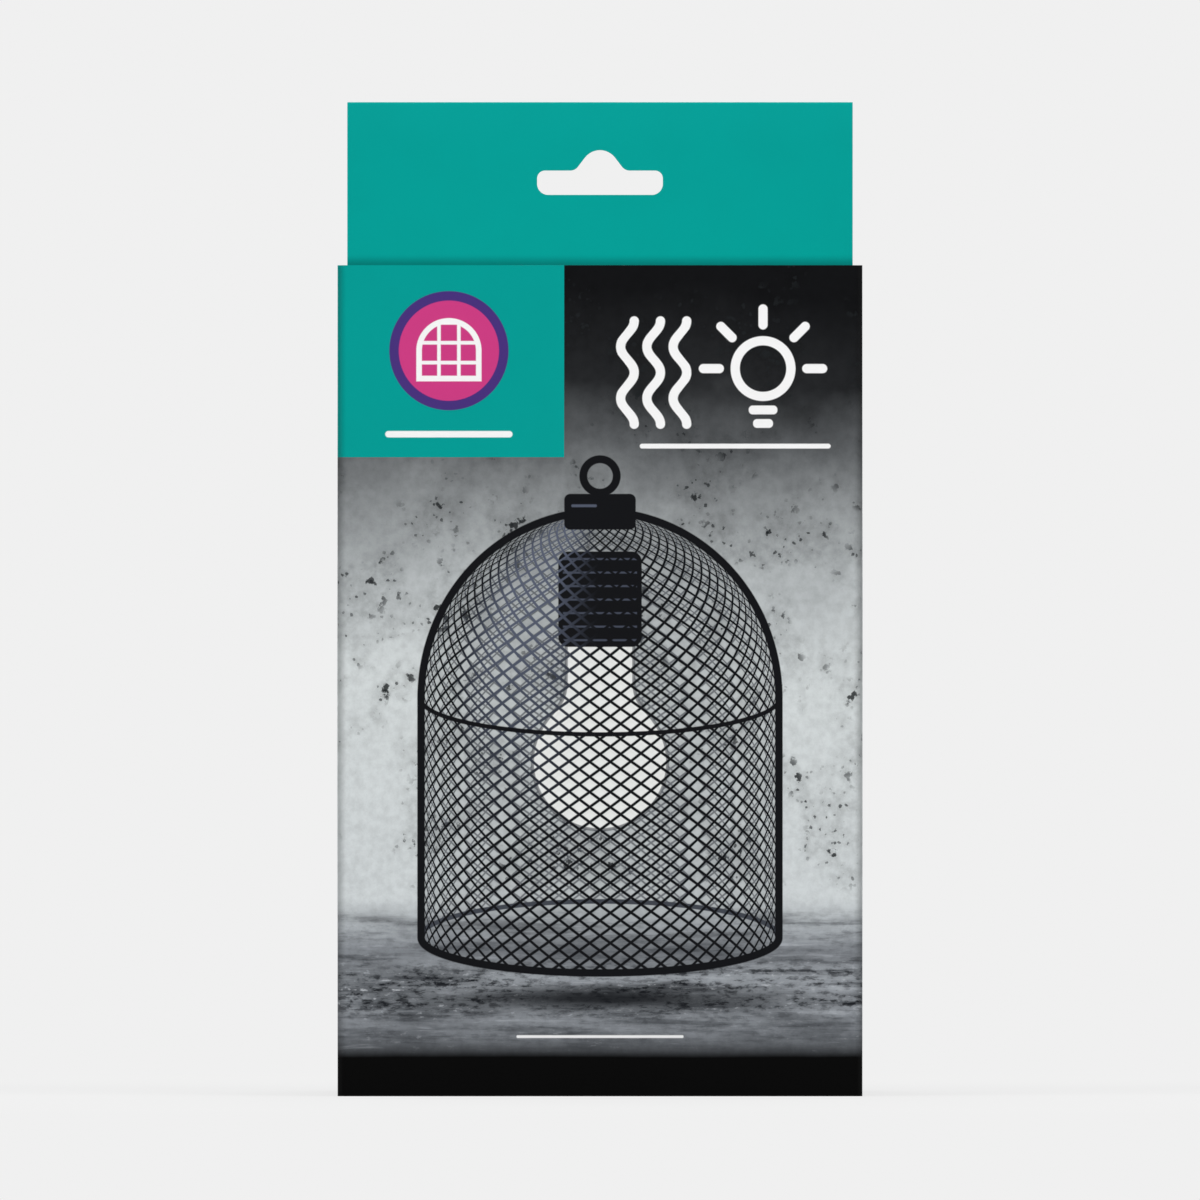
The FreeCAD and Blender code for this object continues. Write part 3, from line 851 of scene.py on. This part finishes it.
def front_print(plaster, film_with_painted_shade):
    material, tree, point, shader = start_material("front_print")
    x, _, z = split(tree, point)
    colour = place(tree, plaster, Point=point).outputs["Color"]
    colour = print_guard(tree, colour, x, z)
    colour = print_signs(tree, colour, x, z)
    rule = plate(x, z - 15, half_width=21, half_height=0.35, corner=0.3)
    colour = mix(tree, rule.inked() * 0.9, colour, WHITE)
    film_and_painted_shade(tree, film_with_painted_shade, point, colour, shader)
    return material


def wall_print(plaster, film_with_painted_shade):
    material, tree, point, shader = start_material("wall_print")
    colour = place(tree, plaster, Point=point).outputs["Color"]
    film_and_painted_shade(tree, film_with_painted_shade, point, colour, shader)
    return material


# The roundel on the corner block: a ring, a disc, and a domed grid.
ROUNDEL_X = -38
ROUNDEL_Z = 187.5
ROUNDEL_RADIUS = 15
ROUNDEL_RING = 2.4
ROUNDEL_GRID = 2.5
ROUNDEL_BAR = 0.9


# Teal all over; on the front's corner block it carries the roundel, with a rule below.
def teal_print(film_with_painted_shade):
    material, tree, point, shader = start_material("teal_print")
    x, y, z = split(tree, point)
    on_front = (y + D / MM).clear_of(3.0, 2.0)
    sign_x, sign_z = x - ROUNDEL_X, z - ROUNDEL_Z
    roundel = disc(sign_x, sign_z, ROUNDEL_RADIUS)
    colour = mix(tree, roundel.inked() * on_front, TEAL, VIOLET)
    colour = mix(tree, (roundel + ROUNDEL_RING).inked() * on_front, colour, MAGENTA)
    dome = disc(sign_x, sign_z.most(0.0), radius=7.5).most(-sign_z - 7)
    upright, level = (
        line_of(way.calc("PINGPONG", ROUNDEL_GRID) - ROUNDEL_GRID, ROUNDEL_BAR)
        for way in (sign_x, sign_z + 0.5)
    )
    sign = line_of(dome, 1.4).least(upright.least(level).most(dome))
    colour = mix(tree, sign.inked() * on_front, colour, WHITE)
    rule = plate(sign_x, z - 166.5, half_width=16, half_height=0.8, corner=0.8)
    colour = mix(tree, rule.inked() * on_front, colour, WHITE)
    film_and_painted_shade(tree, film_with_painted_shade, point, colour, shader)
    return material


def foot_print(film_with_painted_shade):
    material, tree, point, shader = start_material("foot_print")
    film_and_painted_shade(tree, film_with_painted_shade, point, FOOT_BLACK, shader)
    return material


def bare_board(name, colour, speck, fineness):
    material, tree, point, shader = start_material(name)
    fibres = cloud(tree, point, fineness, detail=5.0, roughness=0.7, stretch=(1, 1, 0.4))
    link(tree, mix(tree, fibres.clear_of(0.35, 0.75) * 0.6, colour, speck),
         shader.inputs["Base Color"])
    link(tree, fibres * 0.2 + 0.75, shader.inputs["Roughness"])
    raise_surface(tree, fibres, shader, strength=0.4, depth=0.05 * MM)
    return material


def make_materials():
    plaster = plaster_group()
    film_with_painted_shade = film_and_painted_shade_group()
    made = (
        front_print(plaster, film_with_painted_shade),
        bare_board("board_inside", GREYBOARD, GREYBOARD_FLECK, fineness=1.5),
        bare_board("board_core", FIBRE, FIBRE_FLECK, fineness=4.0),
        wall_print(plaster, film_with_painted_shade),
        teal_print(film_with_painted_shade),
        foot_print(film_with_painted_shade),
    )
    return {material.name: material for material in made}


# Gives each outer face its print, by where it lies on the carton.
def lay_print(sheet):
    for face in sheet.data.polygons:
        if face.material_index != 0:
            continue
        x, y, z = face.center
        on_front = y < -D + 2 * MM and z > 0.5 * MM
        if z > HEIGHT - 0.5 * MM:
            name = "teal_print"
        elif face.normal.z < -0.7 and z < FOLD:
            name = "foot_print"
        elif z > BLOCK_FOOT * MM and (x < -W + FOLD or (on_front and x < BLOCK_RIGHT * MM)):
            name = "teal_print"
        else:
            name = "front_print" if on_front else "wall_print"
        face.material_index = SLOTS.index(name)


# A face with another layer this close before it is covered.
COVERED = 4 * MM

ISLAND_ANGLE = 1.15
ISLAND_MARGIN = 0.004
SMOOTH_BELOW = math.radians(30)

# Where the panels lie on the picture that is baked from the print: left, foot, width and
# height, in parts of its side. The front gets the most, because its print is the finest.
# The header's place also takes its top fold, stretched by OVER_TOP.
OVER_TOP = 1.5
PANEL_PLACES = {
    "front": (0.004, 0.004, 0.530, 0.992),
    "right": (0.542, 0.004, 0.222, 0.352),
    "left": (0.772, 0.004, 0.222, 0.352),
    "back": (0.542, 0.364, 0.222, 0.428),
    "lid": (0.772, 0.364, 0.222, 0.222),
    "header": (0.772, 0.594, 0.222, 0.078),
    "base": (0.772, 0.680, 0.222, 0.080),
    "edges": (0.772, 0.768, 0.222, 0.228),
    "inside": (0.542, 0.800, 0.222, 0.196),
}


def panel_of(centre, normal):
    if centre.z > HEIGHT + 5 * MM:
        return "back" if normal.y > abs(normal.z) else "header"
    if abs(normal.x) > max(abs(normal.y), abs(normal.z)):
        return "right" if normal.x > 0 else "left"
    if abs(normal.z) > abs(normal.y):
        return "lid" if normal.z > 0 else "base"
    if normal.y > 0:
        return "back"
    return "front" if centre.y < 0 else "header"


# A point's place on its panel, from 0 to 1 across and up.
def spot_on(panel, point):
    x, y, z = point
    over_top = OVER_TOP * (y - D + 2 * BOARD)
    along = {"right": y, "left": -y, "back": -x}.get(panel, x)
    up = {
        "back": z / TOP,
        "lid": (y / D + 1) / 2,
        "base": (1 - y / D) / 2,
        "header": (z + over_top - HEIGHT) / (HEADER_HEIGHT + OVER_TOP * 2 * BOARD),
    }.get(panel, z / HEIGHT)
    return (along / W + 1) / 2, up


# Gives the sheet its map for the bake. Faces that another layer covers share the inside's.
def map_print(sheet):
    mesh = sheet.data
    layers = BVHTree.FromPolygons([v.co for v in mesh.vertices],
                                  [face.vertices for face in mesh.polygons])
    panels = []
    for face in mesh.polygons:
        start = face.center + face.normal * MERGE
        if face.material_index == CORE:
            panels.append("edges")
        elif (face.material_index == INSIDE
                or layers.ray_cast(start, face.normal, COVERED)[0] is not None):
            panels.append("inside")
        else:
            panels.append(panel_of(face.center, face.normal))
    mesh.uv_layers.active = mesh.uv_layers.new(name="OFBake")
    for panel in ("edges", "inside"):
        for face in mesh.polygons:
            face.select = panels[face.index] == panel
        edit(sheet, "FACE")
        bpy.ops.uv.smart_project(angle_limit=ISLAND_ANGLE, island_margin=ISLAND_MARGIN,
                                 scale_to_bounds=True)
        bpy.ops.object.mode_set(mode="OBJECT")
    spots = mesh.uv_layers["OFBake"].uv
    for face, panel in zip(mesh.polygons, panels):
        left, foot, width, height = PANEL_PLACES[panel]
        for corner, vertex in zip(face.loop_indices, face.vertices):
            if panel in ("edges", "inside"):
                across, up = spots[corner].vector
            else:
                across, up = spot_on(panel, mesh.vertices[vertex].co)
            spots[corner].vector = (left + width * across, foot + height * up)


def make_carton():
    sheet = fold_carton()
    materials = make_materials()
    for name in SLOTS:
        sheet.data.materials.append(materials[name])
    finish_with(sheet, "SOLIDIFY", thickness=BOARD - SLIP, offset=-1, use_even_offset=True,
                material_offset=INSIDE, material_offset_rim=CORE)
    lay_print(sheet)
    punch = make_punch()
    for name in SLOTS:
        punch.data.materials.append(materials[name])
    for face in punch.data.polygons:
        face.material_index = CORE
    finish_with(sheet, "BOOLEAN", operation="DIFFERENCE", solver="EXACT", object=punch)
    bpy.data.objects.remove(punch)
    map_print(sheet)
    bpy.ops.object.shade_smooth_by_angle(angle=SMOOTH_BELOW)
    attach(sheet, "root")
    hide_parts("carton")


def seen_rays(tree):
    path = tree.nodes.new("ShaderNodeLightPath")
    seen = Measure(tree, path.outputs["Is Camera Ray"])
    seen = seen.most(Measure(tree, path.outputs["Is Glossy Ray"]))
    return seen.most(Measure(tree, path.outputs["Is Transmission Ray"]))


# A pale floor that keeps a soft shadow near the carton and runs out into the background.
# From below it is clear, so that the carton's base can be looked at.
def add_floor():
    bpy.ops.object.select_all(action="DESELECT")
    bpy.ops.mesh.primitive_plane_add(size=FLOOR_SIZE, location=(0, 0, -FLOOR_DROP))
    floor = bpy.context.object
    floor.name = "floor"
    material = bpy.data.materials.new("pale_floor")
    material.use_nodes = True
    tree = material.node_tree
    tree.nodes.remove(tree.nodes["Principled BSDF"])
    coordinates = tree.nodes.new("ShaderNodeTexCoord")
    x, y, _ = split(tree, coordinates.outputs["Object"])
    far = disc(x, y, radius=0).clear_of(FLOOR_NEAR, FLOOR_FAR)
    seen = seen_rays(tree)
    lit = tree.nodes.new("ShaderNodeBsdfDiffuse")
    lit.inputs["Color"].default_value = (FLOOR_ALBEDO, FLOOR_ALBEDO, FLOOR_ALBEDO, 1)
    glow = tree.nodes.new("ShaderNodeEmission")
    link(tree, seen * FLOOR_GLOW, glow.inputs["Strength"])
    shaded = tree.nodes.new("ShaderNodeAddShader")
    tree.links.new(lit.outputs[0], shaded.inputs[0])
    tree.links.new(glow.outputs[0], shaded.inputs[1])
    plain = tree.nodes.new("ShaderNodeEmission")
    plain.inputs["Strength"].default_value = BACKGROUND
    joined = tree.nodes.new("ShaderNodeMixShader")
    link(tree, seen * far, joined.inputs[0])
    tree.links.new(shaded.outputs[0], joined.inputs[1])
    tree.links.new(plain.outputs[0], joined.inputs[2])
    open_below = tree.nodes.new("ShaderNodeMixShader")
    side = tree.nodes.new("ShaderNodeNewGeometry")
    clear = tree.nodes.new("ShaderNodeBsdfTransparent")
    tree.links.new(side.outputs["Backfacing"], open_below.inputs[0])
    tree.links.new(joined.outputs[0], open_below.inputs[1])
    tree.links.new(clear.outputs[0], open_below.inputs[2])
    tree.links.new(open_below.outputs[0], tree.nodes["Material Output"].inputs["Surface"])
    floor.data.materials.append(material)


def add_world():
    world = bpy.data.worlds.new("studio")
    world.use_nodes = True
    bpy.context.scene.world = world
    tree = world.node_tree
    seen = seen_rays(tree)
    link(tree, seen * (BACKGROUND - AMBIENT) + AMBIENT,
         tree.nodes["Background"].inputs["Strength"])
    tree.nodes["Background"].inputs["Color"].default_value = (1, 1, 1, 1)


def add_camera():
    data = bpy.data.cameras.new("camera")
    data.lens = SENSOR * VIEW_DISTANCE / VIEW_SPAN
    data.sensor_width = SENSOR
    data.clip_end = VIEW_END
    camera = bpy.data.objects.new("camera", data)
    camera.location = (0, -D - VIEW_DISTANCE, EYE_HEIGHT)
    camera.rotation_euler = (math.pi / 2, 0, 0)
    bpy.context.collection.objects.link(camera)
    bpy.context.scene.camera = camera


def add_softbox(name, degrees, watts):
    data = bpy.data.lights.new(name, "AREA")
    data.size = SOFTBOX_SIZE
    data.energy = watts
    light = bpy.data.objects.new(name, data)
    angle = math.radians(degrees)
    light.location = (
        SOFTBOX_AWAY * math.sin(angle), -SOFTBOX_AWAY * math.cos(angle), SOFTBOX_HEIGHT
    )
    aim = Vector((0, 0, HEIGHT / 2)) - light.location
    light.rotation_euler = aim.to_track_quat("-Z", "Y").to_euler()
    bpy.context.collection.objects.link(light)


make_carton()
add_floor()
add_world()
add_camera()
for softbox in SOFTBOXES:
    add_softbox(*softbox)

bpy.context.scene.view_settings.view_transform = "Standard"
